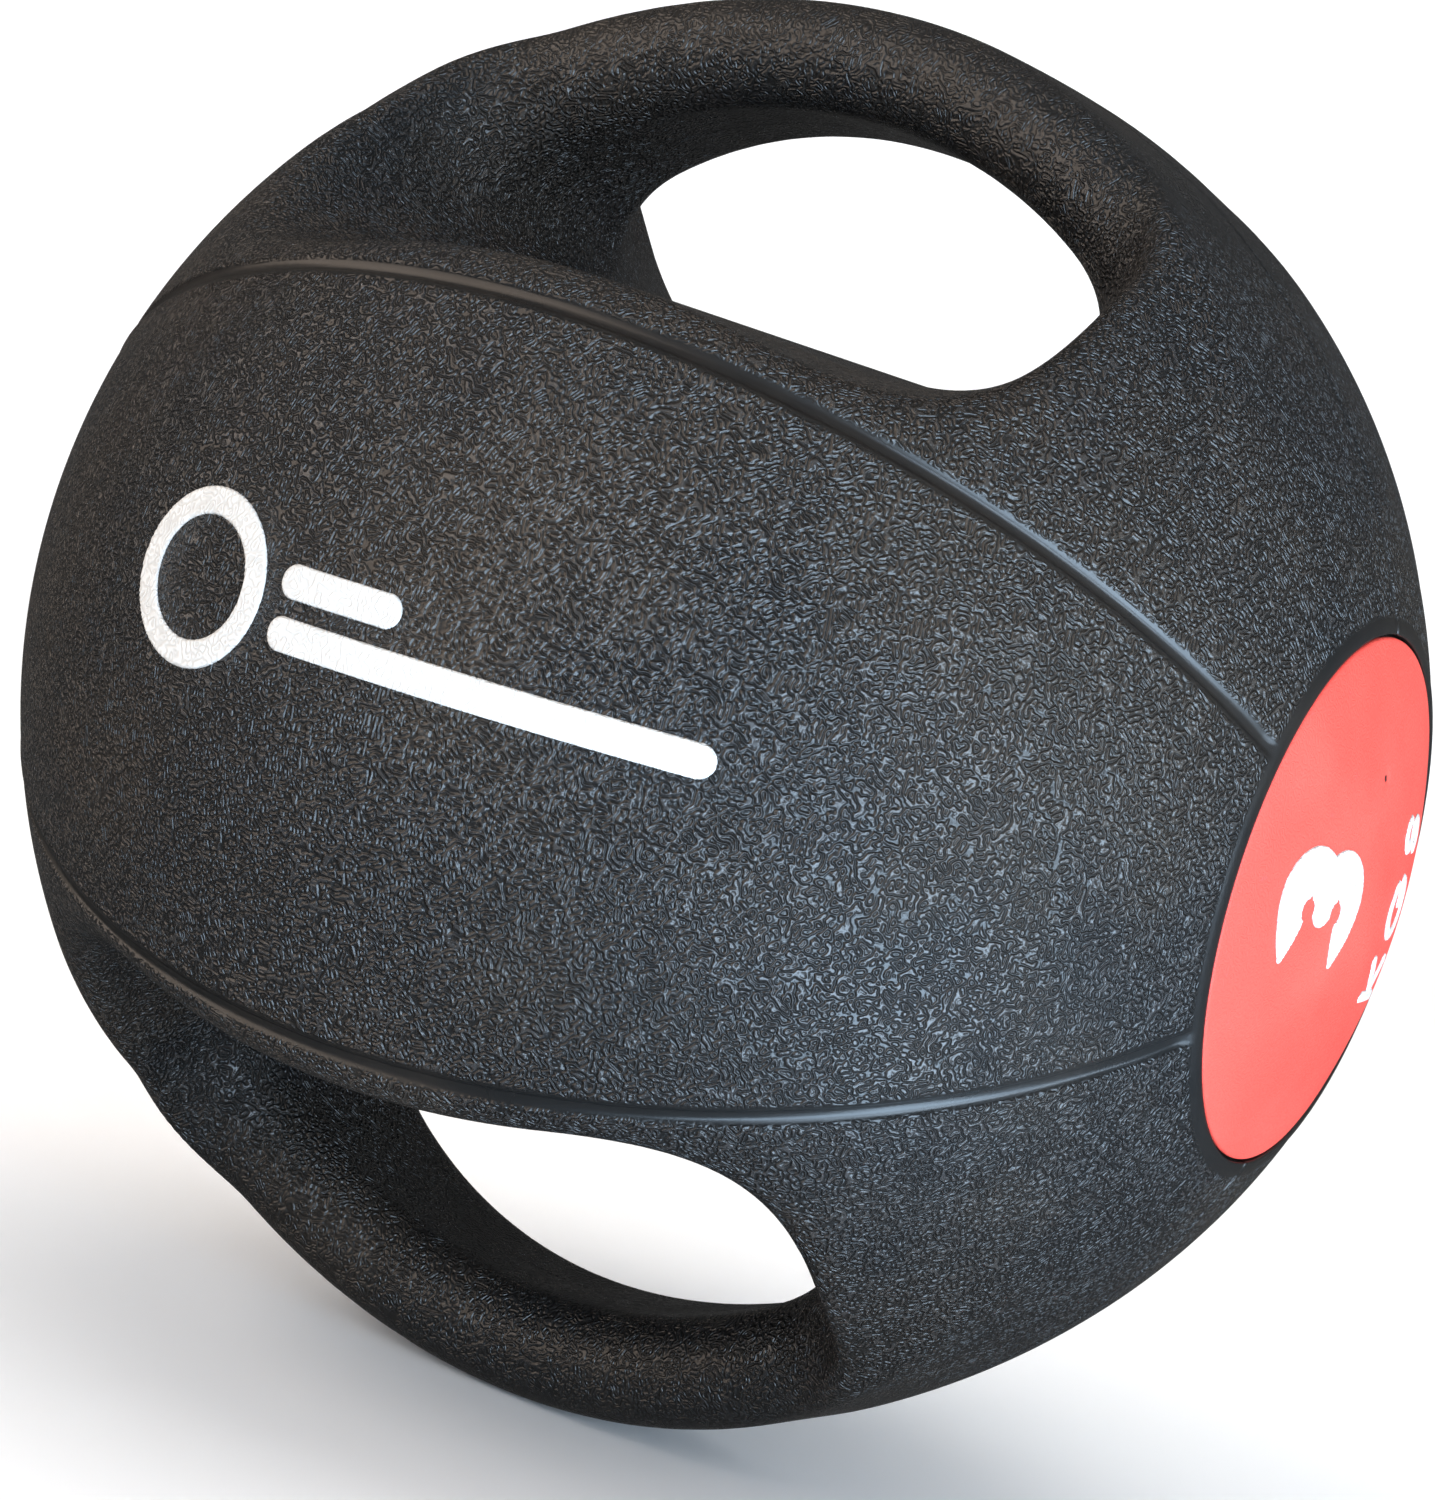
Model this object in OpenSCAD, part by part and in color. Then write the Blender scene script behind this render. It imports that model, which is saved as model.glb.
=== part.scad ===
// Medicine ball with two moulded-in grips.
// The origin is the ball's centre. X runs through the two coloured pole discs, Z through the
// middles of the two grips, and -Y faces the printed front panel. The two rubber halves are
// bonded on the plane y = 0, which splits both grips lengthwise.

/* [Ball] */
// Diameter of the ball over its panels
ball_d = 240; // [220:5:260]
// Thickness of the rubber wall
wall_t = 12; // [10:0.5:16]
// Tilt of the panel grooves above and below the middle of the front panel, in degrees
groove_tilt = 29; // [26:0.5:31]
// Width of a panel groove
groove_w = 3; // [2:0.5:4]
// Depth of a panel groove
groove_depth = 0.8; // [0.4:0.1:1.5]

/* [Grips] */
// Height of a grip's top above the ball's own round
grip_rise = 2.2; // [0.5:0.1:4]
// Thickness of a grip bar, from its outside to its finger side
grip_t = 19; // [16:0.5:22]
// Width of a grip bar across the hand, at its middle
grip_w = 39; // [36:1:46]
// Length of a finger opening along the grip
opening_l = 123; // [110:1:126]
// Distance from the ball's centre to the floor under a grip
floor_h = 64; // [60:0.5:68]

/* [Pole discs] */
// Diameter of a coloured disc, measured straight across
disc_d = 88; // [70:1:92]
// Thickness of a coloured disc
disc_t = 2; // [1.5:0.25:3]
// Depth of a disc's face below the ball's round
disc_inset = 0.3; // [0.2:0.1:1.2]
// Width of the smooth lip round a disc
lip_w = 3; // [2:0.25:4]
// Height of the lip above the ball's round
lip_rise = 0.2; // [0.1:0.1:0.8]

/* [Marks] */
// Thickness of the white print
print_t = 0.3; // [0.2:0.05:0.5]
// Height of the weight number
number_h = 26; // [20:1:28]
// Height of the unit letters under the number
unit_h = 10; // [8:0.5:11]
// Outer diameter of the ring in the front mark
ring_d = 28; // [22:1:32]

/* [Valve] */
// Radius of the guide hole that a ball needle goes into
guide_r = 0.6; // [0.5:0.05:0.8]
// Radius of the valve bung
bung_r = 3.4; // [3:0.1:3.6]
// Radius of the flange that holds the bung against the inside of the wall
flange_r = 5.5; // [5:0.25:7]
// Thickness of that flange
flange_t = 2; // [1.5:0.25:3]
// Depth of the open guide hole under the disc's face; the needle pierces the rubber below it
guide_depth = 3.5; // [3:0.5:6]

/* [Hidden] */
$fn = 96;

ball_r = ball_d / 2;
far = 2 * ball_r;                       // longer than anything it has to cut

// The floor under a grip is a gentle arch that follows the panel's edge
floor_r = 1.45 * ball_r;
floor_centre = floor_h - floor_r;

// The two ends of a finger opening flare a little towards both faces of the ball: each end
// wall is a wide cylinder that stands along Z, filleted into the floor
end_wall_r = 1.9 * ball_r;
end_wall_x = opening_l / 2 + end_wall_r;
end_fillet_r = 0.22 * ball_r;
end_fillet_z = floor_h - 0.035 * ball_r;
end_foot_z = end_fillet_z - 0.1 * ball_r;    // starts inside the floor
cavity_stop_x = opening_l / 2 + 0.085 * ball_r + wall_t;
pocket_x = opening_l / 2 + 0.2 * ball_r;     // reaches past both end walls
pocket_z = 0.3 * ball_r;                     // starts under the floor

// The outside of a grip is an arc tighter than the ball, so it stands proud at its top and
// runs into the ball's round at both ends
grip_top = ball_r + grip_rise;
grip_arc_r = 0.89 * ball_r;
grip_arc_z = grip_top - grip_arc_r;
grip_end_x = 0.56 * ball_r;             // where a bar ends, inside the wall behind the opening
flare_r = 1.45 * ball_r;                // a grip's sides widen along this radius
flare_skin = 0.03 * ball_r;             // how far the widened web lies inside the bar's faces
web_w = 0.7 * ball_r;                   // the web's width before its sides are cut to the flare
grip_end_z = 0.2 * ball_r;              // the bar's arc is drawn from here up

disc_r = disc_d / 2;
disc_face_r = ball_r - disc_inset;      // sphere that a disc's face lies on
disc_seat_r = disc_face_r - disc_t;     // sphere that it is bonded to

valve_polar = 10.5;                     // angle from the right pole towards the upper grip
valve_turn = 2;                         // and from there towards the front
flange_top = ball_r - wall_t - 0.2;     // just inside the wall's round inner face
disc_turns = [0, 180];                  // the right and the left disc

black = [0.09, 0.09, 0.1];
red = [0.93, 0.2, 0.17];
white = [0.93, 0.93, 0.91];

// ---- shared shapes ----

// A whole sphere whose poles face front and rear
module ball(r) {
    rotate([90, 0, 0])
        rotate([0, 0, 45])
            sphere(r = r, $fn = 180);
}

// Everything between two spheres
module ball_layer(inner, outer) {
    difference() {
        ball(outer);
        ball(inner);
    }
}

// A cylinder from the centre out through the right pole
module pole_cylinder(r) {
    rotate([0, 90, 0]) cylinder(h = far, r = r);
}

// Draws its children as they are and upside down
module both_grips() {
    children();
    mirror([0, 0, 1]) children();
}

// Draws its children at the right pole and turned round to the left one
module both_poles() {
    for (turn = disc_turns) rotate([0, 0, turn]) children();
}

// What stands at one end of a finger opening: a wide cylinder with a filleted foot
module end_wall() {
    foot_h = end_fillet_z + end_fillet_r - end_foot_z;
    rotate_extrude($fn = 360)
        difference() {
            union() {
                translate([0, end_foot_z]) square([end_wall_r, ball_r]);
                translate([0, end_foot_z]) square([end_wall_r + end_fillet_r, foot_h]);
            }
            translate([end_wall_r + end_fillet_r, end_fillet_z + end_fillet_r])
                circle(r = end_fillet_r);
        }
}

// The arched floor, as a cylinder across the ball
module floor_arch(r) {
    translate([0, 0, floor_centre])
        rotate([90, 0, 0])
            cylinder(h = far, r = r, center = true, $fn = 360);
}

// Space taken out of the ball over one finger opening
module grip_pocket() {
    difference() {
        translate([-pocket_x, -far / 2, pocket_z])
            cube([2 * pocket_x, far, ball_r]);
        floor_arch(floor_r);
        for (side = [0, 180])
            rotate([0, 0, side]) translate([end_wall_x, 0, 0]) end_wall();
    }
}

// Rubber that the cavity leaves standing under and beside a pocket
module pocket_wall() {
    difference() {
        translate([-cavity_stop_x, -ball_r, pocket_z])
            cube([2 * cavity_stop_x, ball_d, ball_r]);
        floor_arch(floor_r - wall_t);
    }
}

// A ring about the grip's own axis, with a square section
module grip_ring(outer, inner, width) {
    translate([0, 0, grip_arc_z])
        rotate([90, 0, 0])
            difference() {
                cylinder(h = width, r = outer, center = true, $fn = 240);
                cylinder(h = 2 * width, r = inner, center = true, $fn = 240);
            }
}

// One grip bar: an oblong section with round sides along the grip's arc, and a thinner web
// that widens it towards both ends
module grip_bar() {
    side_r = grip_t / 2;
    intersection() {
        union() {
            translate([0, 0, grip_arc_z])
                rotate([90, 0, 0])
                    rotate_extrude($fn = 240)
                        translate([grip_arc_r - side_r, 0]) {
                            square([grip_t, grip_w - grip_t], center = true);
                            for (side = [-1, 1])
                                translate([0, side * (grip_w / 2 - side_r)])
                                    circle(r = side_r, $fn = 48);
                        }
            difference() {
                grip_ring(grip_arc_r - flare_skin, grip_arc_r - grip_t + flare_skin, web_w);
                for (side = [-1, 1])
                    translate([0, side * (grip_w / 2 + flare_r), 0])
                        cylinder(h = far, r = flare_r, $fn = 240);
            }
        }
        translate([-grip_end_x, -ball_r, grip_end_z])
            cube([2 * grip_end_x, ball_d, ball_d]);
    }
}

// The four panel grooves: two rings through both poles, tilted up and down
module panel_grooves() {
    for (side = [-1, 1])
        rotate([side * groove_tilt, 0, 0])
            difference() {
                cylinder(h = groove_w, r = far, center = true);
                cylinder(h = 2 * groove_w, r = ball_r - groove_depth, center = true, $fn = 240);
            }
}

// A cylinder on the valve's axis, from one distance from the ball's centre to another
module along_valve(from, to, r) {
    rotate([0, 0, -valve_turn])
        rotate([0, 90 - valve_polar, 0])
            translate([0, 0, from])
                cylinder(h = to - from, r = r);
}

// Both halves as one hollow ball
module shell() {
    difference() {
        union() {
            difference() {
                ball(ball_r);
                panel_grooves();
                both_grips() grip_pocket();
            }
            both_grips() grip_bar();
            both_poles() intersection() {
                pole_cylinder(disc_r + lip_w);
                ball(ball_r + lip_rise);
            }
        }
        difference() {
            ball(ball_r - wall_t);
            both_grips() pocket_wall();
        }
        both_poles() difference() {
            pole_cylinder(disc_r);
            ball(disc_seat_r);
        }
        along_valve(flange_top - far / 8, ball_r, bung_r);
    }
}

// Everything in front of the bonded plane
module front_space() {
    translate([-far, -far, -far])
        cube([2 * far, far, 2 * far]);
}

// ---- marks, drawn flat and wrapped onto the round by a thin layer of it ----

// Part of a ring between two angles, up to half a turn
module arc_stroke(r, stroke, start, end) {
    reach = 3 * r;
    difference() {
        circle(r = r + stroke / 2, $fn = 48);
        circle(r = r - stroke / 2, $fn = 48);
        rotate(end) translate([-reach, 0]) square([2 * reach, reach]);
        rotate(start + 180) translate([-reach, 0]) square([2 * reach, reach]);
    }
}

// A straight stroke with round ends
module line_stroke(a, b, stroke) {
    length = norm(b - a);
    translate(a)
        rotate(atan2(b[1] - a[1], b[0] - a[0]))
            translate([0, -stroke / 2])
                square([length, stroke]);
    for (p = [a, b]) translate(p) circle(d = stroke, $fn = 24);
}

// The number three: two bowls, open to the left
module number_three(h) {
    stroke = 0.27 * h;
    bowl_r = (h - stroke) / 4;
    bowl_x = 0.07 * h;
    for (side = [-1, 1])
        translate([bowl_x, side * bowl_r]) {
            arc_stroke(bowl_r, stroke, -90, 90);
            line_stroke([-0.36 * h, side * bowl_r], [0, side * bowl_r], stroke);
        }
    line_stroke([-0.04 * h, 0], [bowl_x, 0], 0.8 * stroke);
}

module letter_k(h) {
    stroke = 0.22 * h;
    half = h / 2;
    stem_x = -0.36 * h;
    translate([stem_x, -half]) square([stroke, h]);
    for (side = [0, 1])
        mirror([0, side])
            polygon([[stem_x + 0.9 * stroke, -0.06 * h], [0.12 * h, half], [0.4 * h, half],
                     [0.04 * h, -0.06 * h]]);
}

module letter_g(h) {
    stroke = 0.22 * h;
    bowl_r = (h - stroke) / 2;
    arc_stroke(bowl_r, stroke, 45, 200);
    arc_stroke(bowl_r, stroke, 180, 355);
    line_stroke([bowl_r, -0.1 * h], [bowl_r, -0.5 * bowl_r], stroke);
    line_stroke([0.1 * h, -0.04 * h], [bowl_r, -0.04 * h], stroke);
}

module letter_s(h) {
    stroke = 0.2 * h;
    bowl_r = (h - stroke) / 4;
    for (turn = [0, 180])
        rotate(turn)
            translate([0, bowl_r]) {
                arc_stroke(bowl_r, stroke, 30, 200);
                arc_stroke(bowl_r, stroke, 180, 275);
            }
}

// The number over its unit. The lines read towards the upper grip, tops towards the front
module weight_mark() {
    number_y = 0.16 * ball_r;
    unit_y = -0.145 * ball_r;
    letter_gap = 1.15 * unit_h;
    intersection() {
        rotate([0, 90, 0])
            rotate([0, 0, 180])
                linear_extrude(height = far) {
                    translate([0, number_y]) number_three(number_h);
                    translate([-letter_gap, unit_y]) letter_k(unit_h);
                    translate([0, unit_y]) letter_g(unit_h);
                    translate([letter_gap, unit_y]) letter_s(unit_h);
                }
        ball_layer(disc_face_r, disc_face_r + print_t);
    }
}

// ---- sub-parts ----

module front_shell_half() {
    color(black) intersection() {
        shell();
        front_space();
    }
}

module rear_shell_half() {
    color(black) intersection() {
        shell();
        rotate([0, 0, 180]) front_space();
    }
}

module pole_disc() {
    intersection() {
        pole_cylinder(disc_r);
        ball_layer(disc_seat_r, disc_face_r);
    }
}

module right_pole_disc() {
    color(red) difference() {
        pole_disc();
        along_valve(ball_r / 2, far, guide_r);
    }
}

module left_pole_disc() {
    color(red) rotate([0, 0, 180]) pole_disc();
}

module right_weight_mark() {
    color(white) weight_mark();
}

module left_weight_mark() {
    color(white) rotate([0, 0, 180]) weight_mark();
}

// A plain ring and two stripes, printed on the front panel
module front_panel_mark() {
    ring_z = 0.04 * ball_r;
    ring_stroke = 0.16 * ring_d;
    stripe_h = 0.045 * ball_r;
    stripe_x = -0.12 * ball_r;
    ring_x = stripe_x - stripe_h - ring_d / 2;
    // height above the equator and right end of the short and the long stripe
    stripes = [[0.072 * ball_r, 0.02 * ball_r], [0.006 * ball_r, 0.43 * ball_r]];
    color(white) intersection() {
        rotate([90, 0, 0])
            linear_extrude(height = far) {
                translate([ring_x, ring_z]) difference() {
                    circle(d = ring_d);
                    circle(d = ring_d - 2 * ring_stroke);
                }
                for (s = stripes) line_stroke([stripe_x, s[0]], [s[1], s[0]], stripe_h);
            }
        ball_layer(ball_r, ball_r + print_t);
    }
}

// Self-sealing plug that a ball needle is pushed through, with a flange inside the wall
module valve_bung() {
    color(black) difference() {
        union() {
            intersection() {
                along_valve(flange_top - flange_t, ball_r, bung_r);
                ball(disc_seat_r);
            }
            along_valve(flange_top - flange_t, flange_top, flange_r);
        }
        along_valve(disc_face_r - guide_depth, far, guide_r);
    }
}

front_shell_half();
rear_shell_half();
right_pole_disc();
left_pole_disc();
right_weight_mark();
left_weight_mark();
front_panel_mark();
valve_bung();
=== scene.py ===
"""Medicine ball with two moulded-in grips: the looks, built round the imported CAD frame.

Frame: metres, origin at the ball's centre, +X right disc, +Z upper grip, -Y printed front panel.
The rubber shell is one implicit surface in units of the ball's radius. It is meshed on a grid
of polar angle, turn about the X axis and radius, so that grooves, seam and disc rims follow
grid lines. One eighth is meshed and then reflected.
"""

import math

import bmesh
import bpy
import numpy as np
from mathutils import Matrix, Vector


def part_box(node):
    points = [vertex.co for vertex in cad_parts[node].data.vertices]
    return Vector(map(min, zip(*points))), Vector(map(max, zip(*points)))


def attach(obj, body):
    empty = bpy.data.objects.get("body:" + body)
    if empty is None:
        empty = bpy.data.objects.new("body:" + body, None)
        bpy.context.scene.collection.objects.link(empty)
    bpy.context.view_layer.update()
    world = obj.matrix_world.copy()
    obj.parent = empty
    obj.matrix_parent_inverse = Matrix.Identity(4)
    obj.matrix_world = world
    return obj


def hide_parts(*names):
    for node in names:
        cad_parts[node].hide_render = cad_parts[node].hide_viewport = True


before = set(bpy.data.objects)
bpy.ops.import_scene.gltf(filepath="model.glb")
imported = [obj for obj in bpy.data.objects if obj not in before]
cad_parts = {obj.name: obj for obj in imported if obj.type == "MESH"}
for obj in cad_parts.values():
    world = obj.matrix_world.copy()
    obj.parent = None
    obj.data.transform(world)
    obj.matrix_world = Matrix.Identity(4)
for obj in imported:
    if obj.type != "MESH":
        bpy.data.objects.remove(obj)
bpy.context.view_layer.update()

# ---------------------------------------------------------------- sizes taken from the frame
BALL_R = -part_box("front_shell_half")[0].y
DISC_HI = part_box("right_pole_disc")[1]
DISC_R = DISC_HI.z / BALL_R
DISC_FACE = DISC_HI.x / BALL_R
DISC_T = 2.0e-3 / BALL_R  # thickness of a disc
GRIP_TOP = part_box("front_shell_half")[1].z / BALL_R
PRINT_T = 0.3e-3 / BALL_R  # height of the white print

# ---------------------------------------------------------------- shell shape, in ball radii
GRIP_T = 0.158  # thickness of a grip bar
GRIP_ARC_R = 0.874  # radius of its outside
GRIP_HALF_W = 0.170  # half its width at the middle
GRIP_FLARE = 0.24  # how fast it widens towards its ends, with the square of x
GRIP_BLEND = 0.10  # rounding where it grows out of the ball
FLOOR_Z = 0.534  # floor under the grip, at the middle
FLOOR_R = 1.44  # radius of that floor's arch
END_X = 0.540  # half the length of a finger opening
END_R = 1.65  # flare of its end walls towards the faces of the ball
END_FILLET = 0.400  # rounding between the floor and the end walls
RIM_ROUND = 0.042  # rounding where a pocket meets the ball
OUTLINE_BLEND = 0.03  # between the ball's round and a grip's own arc
OUTLINE_ROUND = 0.012  # rounding where that outline trims the blended shape

GROOVE_TURN = math.radians(28.95)  # turn of a panel groove about the X axis, from the front
GROOVE_W = 0.0102  # half its width
GROOVE_DEPTH = 0.0068
GROOVE_LIP = 0.0014  # height of the faint lip beside it
GROOVE_FADE = 0.02  # over this angle a groove runs out at a disc's lip
SEAM_W = 0.0036  # half the width of the bonded seam
SEAM_DEPTH = 0.0038
SEAM_INNER_R, SEAM_OUTER_R = 0.88, 0.98  # the seam deepens between these distances from the centre
SEAM_LEAST = 0.1  # share of its depth that it keeps inside the pockets
RIM_TURN = math.asin(DISC_R)  # polar angle of a disc's edge
LIP_HALF = 0.0125  # half the width of the smooth lip round a disc
LIP_RISE = 0.0008  # height of its top above the ball's round
LIP_BLEND = 0.006
DISC_GAP = 0.0016  # open line between a disc and its lip

STEP = 0.0135  # grid step of the shell, about 1.6 mm


def smooth_min(a, b, k):
    """The smaller of two fields, rounded over a width k where they meet."""
    h = np.maximum(k - np.abs(a - b), 0) / k
    return np.minimum(a, b) - h * h * k / 4


def smooth_max(a, b, k):
    return -smooth_min(-a, -b, k)


def shell(p):
    """Distance-like field of the moulded shell: negative inside the rubber."""
    x, y, z = np.abs(p[..., 0]), np.abs(p[..., 1]), np.abs(p[..., 2])
    rad = np.sqrt(x * x + y * y + z * z)
    across = np.hypot(y, z)
    polar = np.arctan2(across, x)
    turn = np.arctan2(z, y)
    ball = rad - 1
    # panel groove: a rounded channel with a faint lip on the panel's side, ending at the disc's lip
    away = (turn - GROOVE_TURN) * across
    run = np.clip((polar - RIM_TURN - 1.6 * LIP_HALF) / GROOVE_FADE, 0, 1)
    ball = ball + run * GROOVE_DEPTH * np.exp(-((away / GROOVE_W) ** 4))
    ball = ball - run * GROOVE_LIP * np.exp(-(((away + 1.75 * GROOVE_W) / (0.5 * GROOVE_W)) ** 2))
    # pocket under the grip
    floor = FLOOR_R - np.hypot(x, z + FLOOR_R - FLOOR_Z)
    ends = END_R - np.hypot(x - END_X - END_R, y)
    pocket = smooth_max(floor, ends, END_FILLET)
    body = smooth_max(ball, -pocket, RIM_ROUND)
    # grip bar: its outside follows its own arc, and the ball's round where that is higher
    arc_z = GRIP_TOP - GRIP_ARC_R
    from_axis = np.hypot(x, z - arc_z)
    outline = smooth_min(rad - 1, from_axis - GRIP_ARC_R, OUTLINE_BLEND)
    side_r = GRIP_T / 2 - 1e-3
    out = np.maximum(outline, GRIP_ARC_R - GRIP_T - from_axis) + side_r
    side = y - (GRIP_HALF_W + GRIP_FLARE * x * x - side_r)
    bar = np.hypot(np.maximum(side, 0), np.maximum(out, 0))
    bar = bar + np.minimum(np.maximum(side, out), 0) - side_r
    field = smooth_min(body, bar, GRIP_BLEND)
    # the blend fills corners only, and nothing stands out of the ball's and the bar's own rounds
    outline = smooth_min(ball, from_axis - GRIP_ARC_R, OUTLINE_BLEND)
    field = smooth_max(field, outline, OUTLINE_ROUND)
    # smooth lip round the disc, and the seat that the disc lies in
    lip = np.hypot(polar - RIM_TURN - LIP_HALF, rad - 1 - LIP_RISE + LIP_HALF) - LIP_HALF
    field = smooth_min(field, lip, LIP_BLEND)
    seat = smooth_max(across - DISC_R, DISC_FACE - DISC_T - rad, 1e-3)
    field = smooth_max(field, -seat, 2e-3)
    # the bonded seam, nearly flush inside the pockets
    seam = SEAM_DEPTH * np.clip((rad - SEAM_INNER_R) / (SEAM_OUTER_R - SEAM_INNER_R), SEAM_LEAST, 1)
    return field + seam * np.exp(-((y / SEAM_W) ** 2))


def ramp(value, start, width):
    """0 up to start, 1 from start + width on."""
    return np.clip((value - start) / width, 0, 1)


def grain_mask(p):
    """1 on the grained panels, less on the grips, 0 on grooves, disc lips and the seam."""
    across = np.hypot(p[:, 1], p[:, 2])
    polar = np.arctan2(across, np.abs(p[:, 0]))
    away = (np.arctan2(np.abs(p[:, 2]), np.abs(p[:, 1])) - GROOVE_TURN) * across
    outside = ramp(np.linalg.norm(p, axis=1), 0.97, 0.015)
    groove = np.clip(1 - (np.abs(away + 0.3 * GROOVE_W) / GROOVE_W - 1.3) / 0.5, 0, 1) * outside
    lip = np.clip((RIM_TURN + 2.3 * LIP_HALF - polar) / 0.006, 0, 1)
    seam = (1 - ramp(np.abs(p[:, 1]), 0.003, 0.005)) * outside
    grip = ramp(np.abs(p[:, 2]), 0.74, 0.10) * (1 - ramp(np.abs(p[:, 1]), 0.24, 0.10))
    return (1 - np.maximum(np.maximum(groove, lip), seam)) * (1 - 0.55 * grip)


def normals_of(p, h=5e-4):
    """The field's gradient, which points out of the rubber and isn't normalised."""
    g = np.empty_like(p)
    for i in range(3):
        d = np.zeros(3)
        d[i] = h
        g[:, i] = shell(p + d) - shell(p - d)
    return g / (2 * h)


def refined(start, stop, step, places):
    """Grid lines from start to stop, closer together round places of (middle, reach, step)."""
    lines = [start]
    while lines[-1] < stop:
        t = lines[-1]
        fine = [s for at, reach, s in places if at - reach <= t + step / 2 <= at + reach]
        lines.append(t + min([step, *fine]))
    return np.array(lines)


def mirrored_end(lines, plane):
    """The last grid line moved so that the last two lie evenly on both sides of a plane."""
    lines = lines[lines < plane - 1e-4]
    return np.append(lines, 2 * plane - lines[-1])


def shell_eighth():
    """Vertices and quads of the eighth with x > 0, y < 0 and z > 0, as surface nets."""
    quarter = math.pi / 2
    polar = refined(0.05, quarter, STEP, [(RIM_TURN + 0.01, 0.03, 0.0035)])
    polar = mirrored_end(polar, quarter)
    places = [(GROOVE_TURN, 0.035, 0.0036), (quarter, 0.012, 0.0022)]
    turn = refined(STEP / 2, quarter, STEP, places)
    turn = mirrored_end(turn, quarter)
    turn = np.insert(turn, 0, -turn[0])
    rad = refined(0.40, 1.06, STEP, [(0.995, 0.02, 0.006)])
    a, b, c = np.meshgrid(polar, turn, rad, indexing="ij")
    grid = np.stack([c * np.cos(a), -c * np.sin(a) * np.cos(b), c * np.sin(a) * np.sin(b)], -1)
    f = shell(grid)
    n = np.array(f.shape) - 1
    total = np.zeros((*n, 3))
    count = np.zeros(n)
    crossings = []
    for axis in range(3):
        lo = [slice(None)] * 3
        hi = [slice(None)] * 3
        lo[axis], hi[axis] = slice(None, -1), slice(1, None)
        lo, hi = tuple(lo), tuple(hi)
        f0, f1 = f[lo], f[hi]
        cut = (f0 < 0) != (f1 < 0)
        t = np.where(cut, f0 / np.where(cut, f0 - f1, 1), 0)[..., None]
        point = np.where(cut[..., None], grid[lo] + (grid[hi] - grid[lo]) * t, 0)
        u, v = [i for i in range(3) if i != axis]
        for du in (0, 1):
            for dv in (0, 1):
                part = [slice(None)] * 3
                part[u] = slice(du, du + n[u])
                part[v] = slice(dv, dv + n[v])
                total += point[tuple(part)]
                count += cut[tuple(part)]
        crossings.append((cut, f0 < 0))
    used = count > 0
    index = -np.ones(n, int)
    index[used] = np.arange(used.sum())
    verts = total[used] / count[used][:, None]
    quads = []
    for axis, (cut, inside) in enumerate(crossings):
        u, v = [(1, 2), (2, 0), (0, 1)][axis]
        at = np.argwhere(cut)
        at = at[(at[:, u] > 0) & (at[:, v] > 0) & (at[:, u] < n[u]) & (at[:, v] < n[v])]
        corners = []
        for du, dv in ((1, 1), (0, 1), (0, 0), (1, 0)):
            cell = at.copy()
            cell[:, u] -= du
            cell[:, v] -= dv
            corners.append(index[tuple(cell.T)])
        quad = np.stack(corners, 1)
        flip = ~inside[tuple(at.T)]
        quad[flip] = quad[flip][:, ::-1]
        quads.append(quad)
    quads = np.concatenate(quads)
    # every vertex is drawn onto the surface, and moves no further than most of a grid cell
    start = verts.copy()
    for _ in range(4):
        g = normals_of(verts)
        size = np.maximum((g * g).sum(1), 0.2)
        verts = verts - g * (shell(verts) / size)[:, None]
        drift = verts - start
        far = np.maximum(np.linalg.norm(drift, axis=1) / (0.8 * STEP), 1)
        verts = start + drift / far[:, None]
    # vertices that began on a mirror plane stay on it
    verts[np.abs(start) < 1e-6] = 0
    # the row nearest to the pole closes on it
    pole = np.hypot(start[:, 1], start[:, 2]) < polar[1] * np.abs(start[:, 0])
    verts[pole] = [DISC_FACE - DISC_T, 0, 0]
    return verts, quads


def reflected(verts, quads, axis):
    """The surface and its mirror image, joined along the mirror plane."""
    other = verts.copy()
    other[:, axis] *= -1
    on_plane = verts[:, axis] == 0
    number = np.arange(len(verts)) + len(verts)
    number[on_plane] = np.arange(len(verts))[on_plane]
    keep = ~on_plane
    new = np.cumsum(keep) - 1 + len(verts)
    number[keep] = new[keep]
    return np.vstack([verts, other[keep]]), np.vstack([quads, number[quads][:, ::-1]])


def add_mesh(name, verts, faces):
    mesh = bpy.data.meshes.new(name)
    mesh.vertices.add(len(verts))
    mesh.vertices.foreach_set("co", np.ascontiguousarray(verts, np.float32).ravel())
    mesh.loops.add(faces.size)
    mesh.loops.foreach_set("vertex_index", np.ascontiguousarray(faces, np.int32).ravel())
    mesh.polygons.add(len(faces))
    mesh.polygons.foreach_set("loop_start", np.arange(0, faces.size, faces.shape[1], dtype=np.int32))
    mesh.polygons.foreach_set("use_smooth", np.full(len(faces), True))
    mesh.update(calc_edges=True)
    mesh.validate()
    obj = bpy.data.objects.new(name, mesh)
    bpy.context.collection.objects.link(obj)
    return obj


def add_point_value(obj, name, values):
    layer = obj.data.attributes.new(name, "FLOAT", "POINT")
    layer.data.foreach_set("value", np.ascontiguousarray(values, np.float32))


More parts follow.
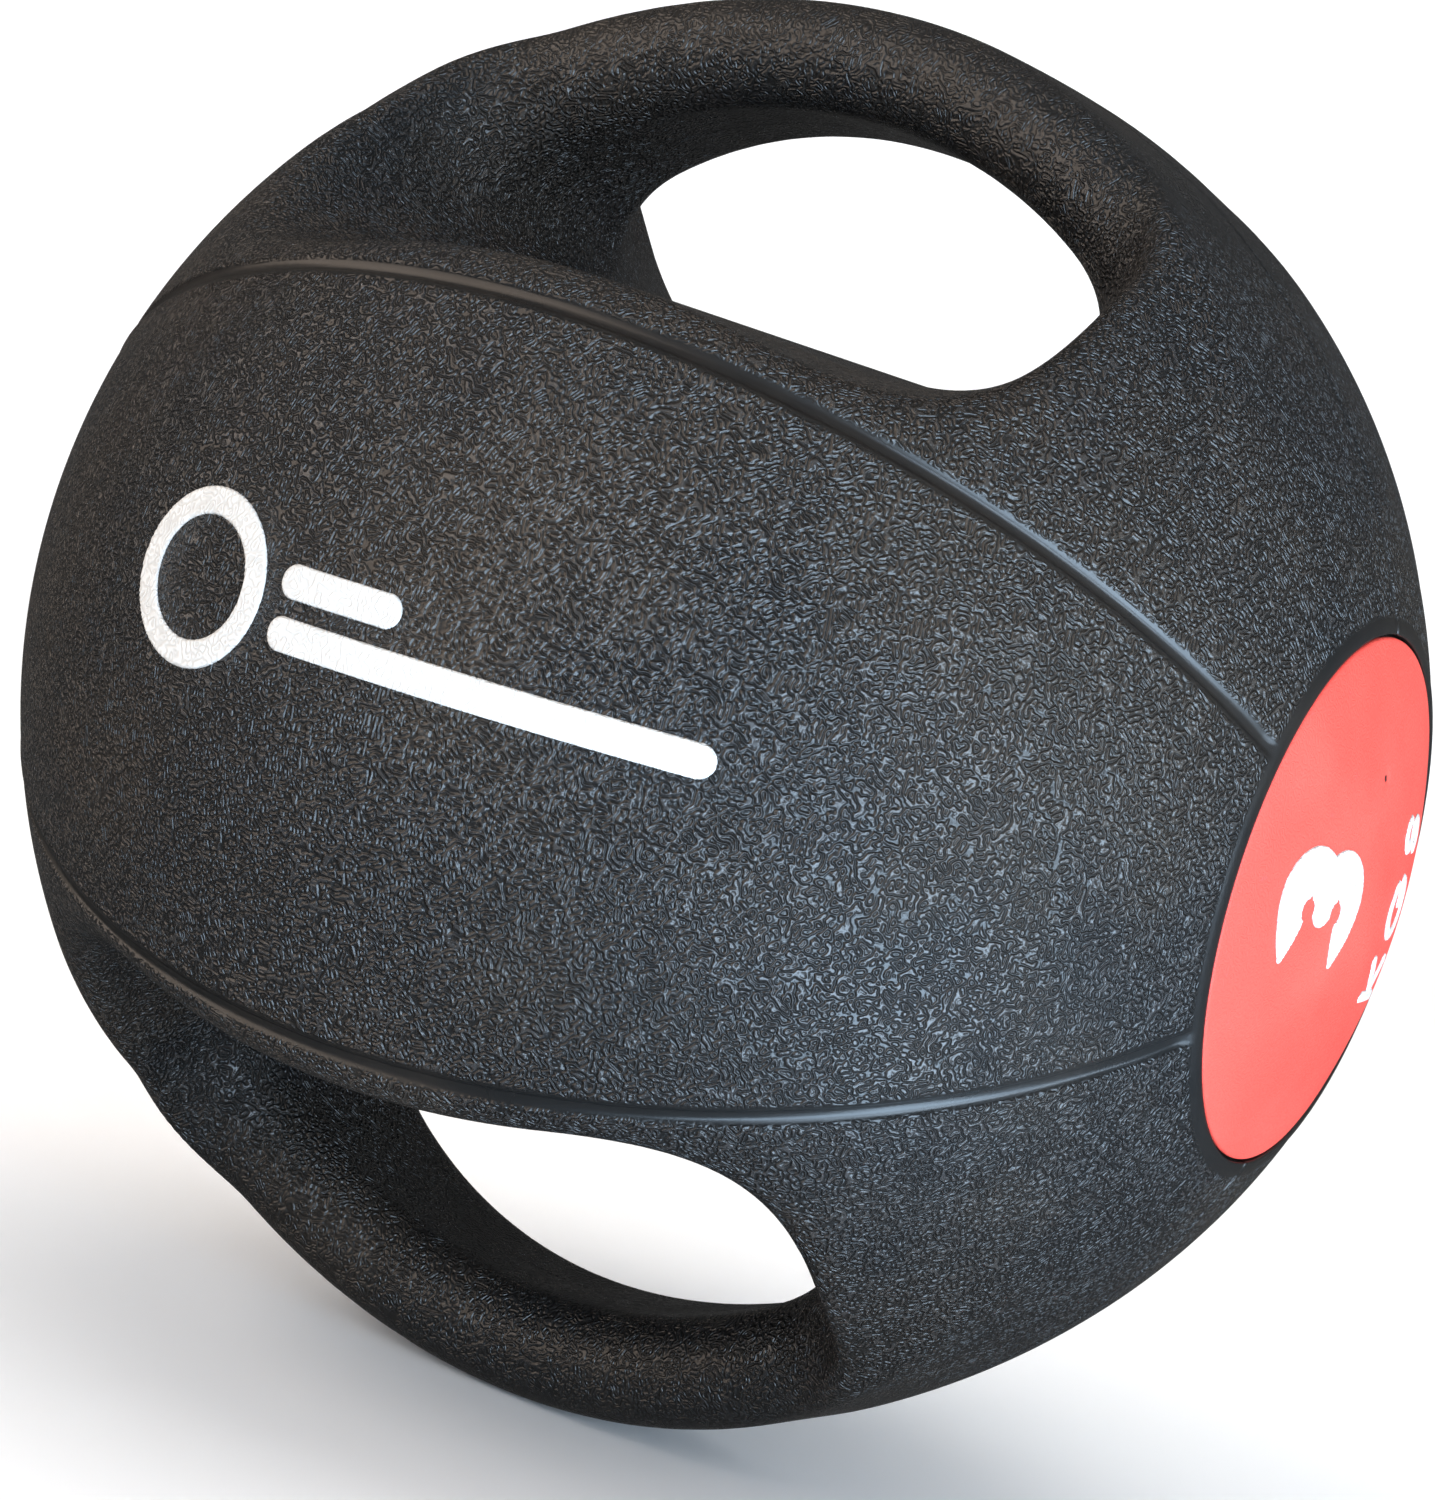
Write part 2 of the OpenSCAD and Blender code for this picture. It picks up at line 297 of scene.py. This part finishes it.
def close_half(obj):
    """Joins the vertices at the poles and closes the half with its flat bonded face."""
    bm = bmesh.new()
    bm.from_mesh(obj.data)
    bmesh.ops.remove_doubles(bm, verts=bm.verts, dist=1e-7)
    rim = [e for e in bm.edges if e.is_boundary]
    made = bmesh.ops.triangle_fill(bm, edges=rim, normal=(0, 1, 0), use_beauty=True)
    for face in made["geom"]:
        if isinstance(face, bmesh.types.BMFace):
            face.smooth = False
    for edge in rim:
        edge.smooth = False
    bmesh.ops.recalc_face_normals(bm, faces=bm.faces)
    print(obj.name, "open edges left:", sum(e.is_boundary for e in bm.edges))
    bm.to_mesh(obj.data)
    bm.free()


def compact(verts, quads):
    """Leaves out the vertices that no face uses."""
    used = np.unique(quads)
    number = -np.ones(len(verts), int)
    number[used] = np.arange(len(used))
    return verts[used], number[quads]


def facing_out(verts, quads):
    """The quads, all turned round if they face into the rubber."""
    out = normals_of(verts[quads].mean(1))
    edge_a = verts[quads[:, 2]] - verts[quads[:, 0]]
    edge_b = verts[quads[:, 3]] - verts[quads[:, 1]]
    inward = (np.cross(edge_a, edge_b) * out).sum(1).mean() < 0
    return quads[:, ::-1] if inward else quads


verts, quads = compact(*shell_eighth())
quads = facing_out(verts, quads)
verts, quads = reflected(verts, quads, 0)
verts, quads = reflected(verts, quads, 2)
halves = []
for name, side in (("front_rubber_half", 1), ("rear_rubber_half", -1)):
    own = verts * np.array([1, side, 1])
    half = add_mesh(name, own * BALL_R, quads if side > 0 else quads[:, ::-1])
    close_half(half)
    placed = np.array([v.co for v in half.data.vertices]) / BALL_R
    add_point_value(half, "grain", grain_mask(placed))
    halves.append(half)


# ---------------------------------------------------------------- discs
VALVE_POLAR = math.radians(10.5)  # from the right pole towards the upper grip
VALVE_TURN = math.radians(2)  # and from there towards the front
VALVE_POINT = DISC_FACE * np.array([
    math.cos(VALVE_POLAR) * math.cos(VALVE_TURN),
    -math.cos(VALVE_POLAR) * math.sin(VALVE_TURN),
    math.sin(VALVE_POLAR),
])
VALVE_R, VALVE_DEPTH = 0.006, 0.004  # the dimple round the valve's guide hole
DISC_ROUND = 0.006  # rounding of a disc's front edge
AROUND = 192  # points round a disc


def ring_faces(rings, around):
    """Quads between rings of points that follow one first point."""
    faces = []
    for k in range(rings - 1):
        for j in range(around):
            a = 1 + k * around + j
            b = 1 + k * around + (j + 1) % around
            faces.append((a, a + around, b + around, b))
    return faces


def smooth_object(name, pts, faces):
    mesh = bpy.data.meshes.new(name)
    mesh.from_pydata(pts, [], faces)
    mesh.polygons.foreach_set("use_smooth", np.full(len(faces), True))
    mesh.update()
    obj = bpy.data.objects.new(name, mesh)
    bpy.context.collection.objects.link(obj)
    return obj


def disc_mesh(name, side):
    """Curved inlay with a rounded edge, closed at the back."""
    edge = RIM_TURN - DISC_GAP
    back = DISC_FACE - 0.96 * DISC_T
    # polar angle and distance from the centre: over the face, round its edge and over the back
    inner_t, inner_r = edge - DISC_ROUND, DISC_FACE - DISC_ROUND
    rows = [(t, DISC_FACE) for t in np.linspace(0.0, inner_t, 60)[1:]]
    for a in np.linspace(0, math.pi / 2, 8)[1:]:
        rows.append((inner_t + DISC_ROUND * math.sin(a), inner_r + DISC_ROUND * math.cos(a)))
    rows.append((edge, back))
    rows += [(t, back) for t in np.linspace(edge, 0.0, 14)[1:-1]]
    turns = np.arange(AROUND) * 2 * math.pi / AROUND
    pts = [(side * DISC_FACE, 0, 0)]
    for t, r in rows:
        across = r * math.sin(t)
        for u in turns:
            pts.append((side * r * math.cos(t), across * math.cos(u), across * math.sin(u)))
    pts.append((side * back, 0, 0))
    faces = ring_faces(len(rows), AROUND)
    last = 1 + (len(rows) - 1) * AROUND
    faces += [(0, 1 + j, 1 + (j + 1) % AROUND) for j in range(AROUND)]
    faces += [(len(pts) - 1, last + (j + 1) % AROUND, last + j) for j in range(AROUND)]
    if side < 0:
        faces = [face[::-1] for face in faces]
    pts = np.array(pts)
    if side > 0:
        # the valve's guide hole shows as a small dimple
        d = np.linalg.norm(pts - VALVE_POINT, axis=1)
        pts = pts * (1 - VALVE_DEPTH * np.exp(-((d / VALVE_R) ** 2)))[:, None]
    return smooth_object(name, [tuple(v) for v in pts * BALL_R], faces)


right_disc = disc_mesh("right_red_disc", 1)
left_disc = disc_mesh("left_red_disc", -1)


# ---------------------------------------------------------------- white print
def segment(p, a, b, taper=0.0):
    """Distance to a straight middle line. A taper thins the stroke towards a."""
    a, b = np.array(a), np.array(b)
    t = np.clip(((p - a) @ (b - a)) / ((b - a) @ (b - a)), 0, 1)
    return np.linalg.norm(p - a - t[..., None] * (b - a), axis=-1) + taper * (1 - t) ** 2


def arc(p, centre, r, start, end):
    """Distance to an arc's middle line, angles in degrees, counter-clockwise from start to end."""
    q = p - np.array(centre)
    middle = math.radians((start + end) / 2)
    half = math.radians((end - start) / 2)
    a = np.arctan2(q[..., 1], q[..., 0]) - middle
    a = (a + math.pi) % (2 * math.pi) - math.pi
    on = np.abs(a) <= half
    ends = []
    for s in (-1, 1):
        tip = r * np.array([math.cos(middle + s * half), math.sin(middle + s * half)])
        ends.append(np.linalg.norm(q - tip, axis=-1))
    return np.where(on, np.abs(np.linalg.norm(q, axis=-1) - r), np.minimum(*ends))


def number_three(p, h):
    """Two bowls open to the left, with thinning arms, a short middle arm and round counters."""
    stroke = 0.31 * h
    bowl = (h - stroke) / 4
    bowl_x = 0.06 * h
    found = [segment(p, (0, 0), (bowl_x, 0)) + 0.045 * h]
    for s in (-1, 1):
        found.append(arc(p, (bowl_x, s * bowl), bowl, -90, 90))
        found.append(segment(p, (-0.33 * h, 1.84 * s * bowl), (bowl_x, 2 * s * bowl), 0.42 * stroke))
    solid = np.minimum.reduce(found) - stroke / 2
    for s in (-1, 1):
        counter = np.linalg.norm(p - np.array([-0.01 * h, s * 0.175 * h]), axis=-1) - 0.068 * h
        solid = np.maximum(solid, -counter)
    return solid


def letter_k(p, h):
    stroke = 0.2 * h
    found = [segment(p, (-0.28 * h, -0.4 * h), (-0.28 * h, 0.4 * h))]
    for s in (-1, 1):
        found.append(segment(p, (-0.2 * h, 0), (0.26 * h, 0.4 * s * h)))
    return np.minimum.reduce(found) - stroke / 2


def letter_g(p, h):
    stroke = 0.2 * h
    r = (h - stroke) / 2
    found = [arc(p, (0, 0), r, 40, 355), segment(p, (0.08 * h, -0.04 * h), (r, -0.04 * h))]
    return np.minimum.reduce(found) - stroke / 2


def letter_s(p, h):
    stroke = 0.2 * h
    r = (h - stroke) / 4
    found = [arc(p, (0, r), r, 20, 270), arc(p, (0, -r), r, -160, 90)]
    return np.minimum.reduce(found) - stroke / 2


PRINT_ROOT = 0.25  # how deep a print's back lies under the surface, in print heights


def print_mesh(name, field, box, step, place, lift=PRINT_T):
    """A thin raised print: the area where field < 0, laid on the ball by place()."""
    xs = np.arange(box[0], box[1] + step, step)
    ys = np.arange(box[2], box[3] + step, step)
    p = np.stack(np.meshgrid(xs, ys, indexing="ij"), -1)
    f = field(p)
    inside = f < 0
    n = (len(xs) - 1, len(ys) - 1)
    total = np.zeros((*n, 2))
    count = np.zeros(n)
    whole = slice(None)
    for axis in (0, 1):
        lo, hi = [whole, whole], [whole, whole]
        lo[axis], hi[axis] = slice(None, -1), slice(1, None)
        lo, hi = tuple(lo), tuple(hi)
        cut = inside[lo] != inside[hi]
        t = np.where(cut, f[lo] / np.where(cut, f[lo] - f[hi], 1), 0)[..., None]
        point = np.where(cut[..., None], p[lo] + (p[hi] - p[lo]) * t, 0)
        for d in (0, 1):
            part = [whole, whole]
            part[1 - axis] = slice(d, d + n[1 - axis])
            total += point[tuple(part)]
            count += cut[tuple(part)]
    mid = (p[:-1, :-1] + p[1:, 1:]) / 2
    flat = np.where(count[..., None] > 0, total / np.maximum(count, 1)[..., None], mid)
    index = np.arange(n[0] * n[1]).reshape(n)
    at = np.argwhere(inside[1:-1, 1:-1]) + 1
    i, j = at[:, 0], at[:, 1]
    quads = np.stack([index[i - 1, j - 1], index[i, j - 1], index[i, j], index[i - 1, j]], 1)
    flat = flat.reshape(-1, 2)
    edge = np.clip(-field(flat) / (1.4 * step), 0, 1)
    rise = lift * (-PRINT_ROOT + (1 + PRINT_ROOT) * np.sqrt(1 - (1 - edge) ** 2))
    pts, quads = compact(np.column_stack([flat, rise]), quads)
    # the back is a copy of the front's inner points, just under the surface
    uses = np.bincount(quads.ravel(), minlength=len(pts))
    inner = uses == 4
    number = np.arange(len(pts))
    number[inner] = np.arange(inner.sum()) + len(pts)
    back = pts[inner] * [1, 1, 0] + [0, 0, -PRINT_ROOT * lift]
    pts, quads = np.vstack([pts, back]), np.vstack([quads, number[quads][:, ::-1]])
    return add_mesh(name, place(pts[:, :2], pts[:, 2]) * BALL_R, quads)


def on_front(flat, rise):
    """Lays a flat shape on the front panel, as seen from the front."""
    x, z = flat[:, 0], flat[:, 1]
    y = -np.sqrt(1 - x * x - z * z)
    return np.column_stack([x, y, z]) * (1 + rise)[:, None]


def on_right(flat, rise, side=1):
    """Flat x reads towards the upper grip and flat y towards the front (rear on the left disc)."""
    y, z = -flat[:, 1], flat[:, 0]
    x = np.sqrt(DISC_FACE**2 - y * y - z * z)
    p = np.column_stack([x, y, z]) * (1 + rise)[:, None]
    return p * np.array([side, side, 1])


NUMBER_H = 26e-3 / BALL_R  # height of the weight number
UNIT_H = 11.5e-3 / BALL_R  # height of the unit letters
NUMBER_Y, UNIT_Y = 0.160, -0.150  # middles of the two lines
UNIT_X = 0.01  # middle of the unit
UNIT_GAP = 1.06 * UNIT_H  # from letter to letter
WEIGHT_BOX = (-0.17, 0.18, -0.22, 0.29)  # holds the whole mark: x from, x to, y from, y to
WEIGHT_STEP = 0.0026


def weight_mark(p):
    """The number over its unit."""
    down = p - np.array([0, UNIT_Y])
    parts = [number_three(p - np.array([0, NUMBER_Y]), NUMBER_H)]
    for k, letter in ((-1, letter_k), (0, letter_g), (1, letter_s)):
        parts.append(letter(down - np.array([UNIT_X + k * UNIT_GAP, 0]), UNIT_H))
    return np.minimum.reduce(parts)


RING_D = 28e-3 / BALL_R
RING_Z = 0.04
STRIPE_X = -0.12  # where both stripes begin
STRIPE_H = 0.045
STRIPES = ((0.072, 0.02), (0.006, 0.43))  # height above the equator and end of each stripe
PANEL_BOX = (-0.42, 0.47, -0.10, 0.18)
PANEL_STEP = 0.0028


def panel_mark(p):
    """A plain ring and two stripes."""
    ring_x = STRIPE_X - STRIPE_H - RING_D / 2
    stroke = 0.16 * RING_D
    ring = np.abs(np.linalg.norm(p - np.array([ring_x, RING_Z]), axis=-1) - RING_D / 2 + stroke / 2)
    parts = [ring - stroke / 2]
    for z, end in STRIPES:
        parts.append(segment(p, (STRIPE_X, z), (end, z)) - STRIPE_H / 2)
    return np.minimum.reduce(parts)


def on_left(flat, rise):
    return on_right(flat, rise, -1)


front_print = print_mesh("front_print", panel_mark, PANEL_BOX, PANEL_STEP, on_front)
right_print = print_mesh("right_weight_print", weight_mark, WEIGHT_BOX, WEIGHT_STEP, on_right)
left_print = print_mesh("left_weight_print", weight_mark, WEIGHT_BOX, WEIGHT_STEP, on_left)


# ---------------------------------------------------------------- materials
class Nodes:
    """Short names for building a node material."""

    def __init__(self, name):
        self.material = bpy.data.materials.new(name)
        self.material.use_nodes = True
        self.tree = self.material.node_tree
        self.shader = self.tree.nodes["Principled BSDF"]
        self.place = self.add("ShaderNodeTexCoord").outputs["Object"]

    def add(self, kind, **values):
        node = self.tree.nodes.new(kind)
        for key, value in values.items():
            setattr(node, key, value)
        return node

    def link(self, a, b):
        self.tree.links.new(a, b)

    def noise(self, scale, detail=0.0, rough=0.5):
        node = self.add("ShaderNodeTexNoise")
        node.inputs["Scale"].default_value = scale
        node.inputs["Detail"].default_value = detail
        node.inputs["Roughness"].default_value = rough
        self.link(self.place, node.inputs["Vector"])
        return node.outputs["Fac"]

    def math(self, operation, *values):
        node = self.add("ShaderNodeMath", operation=operation)
        for socket, value in zip(node.inputs, values):
            if hasattr(value, "links"):
                self.link(value, socket)
            else:
                socket.default_value = value
        return node.outputs[0]

    def spread(self, value, lo, hi, to_lo=0.0, to_hi=1.0, kind="SMOOTHSTEP"):
        node = self.add("ShaderNodeMapRange", interpolation_type=kind)
        self.link(value, node.inputs["Value"])
        for key, number in (("From Min", lo), ("From Max", hi), ("To Min", to_lo), ("To Max", to_hi)):
            node.inputs[key].default_value = number
        return node.outputs["Result"]

    def blend(self, fac, a, b):
        node = self.add("ShaderNodeMix", data_type="RGBA")
        self.link(fac, node.inputs["Factor"])
        for key, value in (("A", a), ("B", b)):
            socket = [s for s in node.inputs if s.name == key and s.type == "RGBA"][0]
            if hasattr(value, "links"):
                self.link(value, socket)
            else:
                socket.default_value = (*value, 1)
        return [s for s in node.outputs if s.type == "RGBA"][0]

    def bump(self, height, distance, strength=1.0, under=None):
        """A bump of a height in metres, laid over another one."""
        node = self.add("ShaderNodeBump")
        node.inputs["Distance"].default_value = distance
        node.inputs["Strength"].default_value = strength
        self.link(height, node.inputs["Height"])
        if under is not None:
            self.link(under, node.inputs["Normal"])
        return node.outputs["Normal"]

    def finish(self, colour, roughness, normal, specular):
        self.link(colour, self.shader.inputs["Base Color"])
        self.link(roughness, self.shader.inputs["Roughness"])
        self.link(normal, self.shader.inputs["Normal"])
        self.shader.inputs["Specular IOR Level"].default_value = specular
        return self.material


GRAIN_SCALE = 760.0  # cells per metre
GRAIN_LEVELS = 3.6  # with this, ridges lie about a millimetre apart
GRAIN_H = 0.50e-3  # height of the bump, in metres


def grain(n, scale=GRAIN_SCALE):
    """Worm-like ridges of even width: the level lines of a smooth noise."""
    levels = n.math("MULTIPLY", n.noise(scale, detail=0.3, rough=0.3), 2 * math.pi * GRAIN_LEVELS)
    return n.math("MULTIPLY_ADD", n.math("SINE", levels), 0.5, 0.5)


def black_rubber():
    n = Nodes("black_rubber")
    mask = n.add("ShaderNodeAttribute", attribute_name="grain").outputs["Fac"]
    ridge = n.math("MULTIPLY", grain(n), mask)
    fine = n.noise(5200.0, detail=2.0)
    dust = n.spread(n.noise(16.0, detail=4.0, rough=0.6), 0.40, 0.66)
    worn = n.spread(n.noise(60.0, detail=3.0), 0.35, 0.7)
    # painted highlight and shade: the grain's ridge tops take the lighter colour, partly wear and
    # partly a painted glint, and its valleys the darker colour as painted shade; where the grain mask
    # is low (grips, grooves, disc lips, seam) the colour falls toward the valleys'. The warm clouds
    # in both colours are dust.
    valley_dust_and_shade = n.blend(dust, (0.009, 0.009, 0.009), (0.016, 0.0135, 0.0115))
    crest_wear_and_glint = n.blend(dust, (0.028, 0.027, 0.027), (0.040, 0.034, 0.029))
    colour = n.blend(ridge, valley_dust_and_shade, crest_wear_and_glint)
    rough = n.math("MULTIPLY_ADD", worn, 0.07, 0.27)
    rough = n.math("MULTIPLY_ADD", ridge, -0.08, rough)
    low = n.bump(ridge, GRAIN_H)
    return n.finish(colour, rough, n.bump(fine, 0.03e-3, 0.6, under=low), 0.45)


def red_rubber():
    n = Nodes("red_rubber")
    ridge = grain(n, 1000.0)
    cloud = n.spread(n.noise(30.0, detail=3.0), 0.35, 0.7)
    colour = n.blend(cloud, (0.64, 0.056, 0.040), (0.70, 0.074, 0.054))
    speck = n.spread(n.noise(700.0, detail=1.0), 0.72, 0.80)
    colour = n.blend(speck, colour, (0.55, 0.06, 0.05))
    # the mouth of the valve's guide hole shows as a dark dot: painted shade of the open hole over the
    # black bung's own colour, since the disc itself has only a dimple there
    away = n.add("ShaderNodeVectorMath", operation="DISTANCE")
    n.link(n.place, away.inputs[0])
    away.inputs[1].default_value = VALVE_POINT * BALL_R
    hole_shade_and_bung = n.spread(away.outputs["Value"], 0.45e-3, 0.75e-3, 1.0, 0.0)
    colour = n.blend(hole_shade_and_bung, colour, (0.02, 0.012, 0.012))
    rough = n.spread(ridge, 0.0, 1.0, 0.66, 0.54, "LINEAR")
    low = n.bump(ridge, 0.035e-3)
    return n.finish(colour, rough, n.bump(n.noise(5000.0, 2.0), 0.02e-3, 0.5, under=low), 0.25)


def white_print():
    n = Nodes("white_print")
    ridge = grain(n)
    worn = n.spread(n.noise(350.0, detail=3.0), 0.30, 0.75)
    high = n.blend(worn, (0.56, 0.55, 0.53), (0.68, 0.67, 0.65))
    colour = n.blend(ridge, (0.50, 0.49, 0.47), high)
    rough = n.spread(worn, 0.0, 1.0, 0.62, 0.50, "LINEAR")
    low = n.bump(ridge, 0.10e-3)
    return n.finish(colour, rough, n.bump(n.noise(5000.0, 2.0), 0.02e-3, 0.5, under=low), 0.4)


def valve_rubber():
    n = Nodes("valve_rubber")
    cloud = n.spread(n.noise(240.0, detail=3.0), 0.35, 0.7)
    colour = n.blend(cloud, (0.018, 0.017, 0.017), (0.040, 0.037, 0.035))
    rough = n.spread(cloud, 0.0, 1.0, 0.42, 0.60, "LINEAR")
    return n.finish(colour, rough, n.bump(n.noise(3500.0, 3.0), 0.03e-3, 0.6), 0.45)


def pale_floor():
    n = Nodes("pale_floor")
    cloud = n.noise(6.0, detail=4.0)
    colour = n.blend(cloud, (0.86, 0.86, 0.86), (0.90, 0.90, 0.90))
    rough = n.spread(cloud, 0.3, 0.7, 0.55, 0.65, "LINEAR")
    return n.finish(colour, rough, n.bump(n.noise(900.0, 3.0), 0.05e-3, 0.3), 0.2)


def wear(obj, material):
    obj.data.materials.clear()
    obj.data.materials.append(material)


BLACK, RED, WHITE, VALVE = black_rubber(), red_rubber(), white_print(), valve_rubber()
for piece, material, slot, nodes in (
    (halves[0], BLACK, "black_rubber", ["front_shell_half"]),
    (halves[1], BLACK, "black_rubber", ["rear_shell_half"]),
    (right_disc, RED, "red_rubber", ["right_pole_disc"]),
    (left_disc, RED, "red_rubber", ["left_pole_disc"]),
    (front_print, WHITE, "white_print", ["front_panel_mark"]),
    (right_print, WHITE, "white_print", ["right_weight_mark"]),
    (left_print, WHITE, "white_print", ["left_weight_mark"]),
):
    wear(piece, material)
    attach(piece, "root")
    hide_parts(*nodes)
wear(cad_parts["valve_bung"], VALVE)


# ---------------------------------------------------------------- stage
FLOOR_LEVEL = -GRIP_TOP * BALL_R  # the ball stands on its lower grip
STAGE_R = 1.9  # radius of the floor, in metres like the next two
STAGE_BEND = 0.6  # radius of the bend between floor and wall
STAGE_TOP = 2.6  # height of the wall


def stage_mesh():
    """Round floor that curves up into a wall all round."""
    bend_at = STAGE_R - STAGE_BEND
    profile = [(r, 0.0) for r in np.linspace(0.0, bend_at, 8)[1:]]
    for a in np.linspace(0, math.pi / 2, 16)[1:]:
        profile.append((bend_at + STAGE_BEND * math.sin(a), STAGE_BEND - STAGE_BEND * math.cos(a)))
    profile.append((STAGE_R, STAGE_TOP))
    around = 96
    pts = [(0, 0, FLOOR_LEVEL)]
    for r, z in profile:
        for j in range(around):
            a = 2 * math.pi * j / around
            pts.append((r * math.cos(a), r * math.sin(a), FLOOR_LEVEL + z))
    faces = [(0, 1 + j, 1 + (j + 1) % around) for j in range(around)]
    return smooth_object("studio_floor", pts, faces + ring_faces(len(profile), around))


floor = stage_mesh()
wear(floor, pale_floor())


def softbox(name, at, size, power, colour, aim=(0, 0, 0)):
    """A rectangular light that points at a place and isn't seen itself."""
    light = bpy.data.lights.new(name, "AREA")
    light.shape = "RECTANGLE"
    light.size, light.size_y = size
    light.energy = power
    light.color = colour
    obj = bpy.data.objects.new(name, light)
    obj.location = at
    obj.rotation_euler = (Vector(aim) - Vector(at)).to_track_quat("-Z", "Y").to_euler()
    obj.visible_camera = False
    bpy.context.collection.objects.link(obj)
    return obj


softbox("window_right", (1.30, -0.80, 0.14), (1.5, 0.5), 30.0, (0.62, 0.80, 1.0))
softbox("fill_left", (-1.25, -1.15, 0.6), (2.2, 2.0), 33.0, (1.0, 0.82, 0.68))
# a cool card lying on the floor at the right, facing up
CARD_X, CARD_Y = 0.36, -0.22
softbox("floor_card", (CARD_X, CARD_Y, FLOOR_LEVEL + 0.01), (0.45, 0.30), 5.5, (0.58, 0.78, 1.0),
        (CARD_X, CARD_Y, 1.0))
overhead = softbox("overhead", (0.0, 0.2, 1.9), (2.2, 2.2), 30.0, (1.0, 0.98, 0.95))
# the black rubber would turn grey all over if it mirrored the white floor and its light
overhead.visible_glossy = False
floor.visible_glossy = False

world = bpy.data.worlds.new("studio")
world.use_nodes = True
world.node_tree.nodes["Background"].inputs["Color"].default_value = (1.0, 1.0, 1.0, 1)
world.node_tree.nodes["Background"].inputs["Strength"].default_value = 0.09
bpy.context.scene.world = world
bpy.context.scene.view_settings.view_transform = "Standard"

# ---------------------------------------------------------------- camera
CAM_AT = BALL_R * Vector((2.4637, -4.9356, 0.3811))
CAM_RIGHT = Vector((0.85418, 0.44679, 0.26601))
CAM_UP = Vector((-0.26808, -0.05998, 0.96153))
CAM_BACK = Vector((0.44555, -0.89263, 0.06854))
camera_data = bpy.data.cameras.new("camera")
camera_data.lens = 92.1
camera_data.sensor_width = 36.0
camera_data.shift_x = -0.0059
camera_data.shift_y = -0.0254
camera_data.clip_start = 0.01
camera_data.clip_end = 50
camera = bpy.data.objects.new("camera", camera_data)
turned = Matrix((CAM_RIGHT, CAM_UP, CAM_BACK)).transposed().to_4x4()
camera.matrix_world = Matrix.Translation(CAM_AT) @ turned
bpy.context.collection.objects.link(camera)
bpy.context.scene.camera = camera
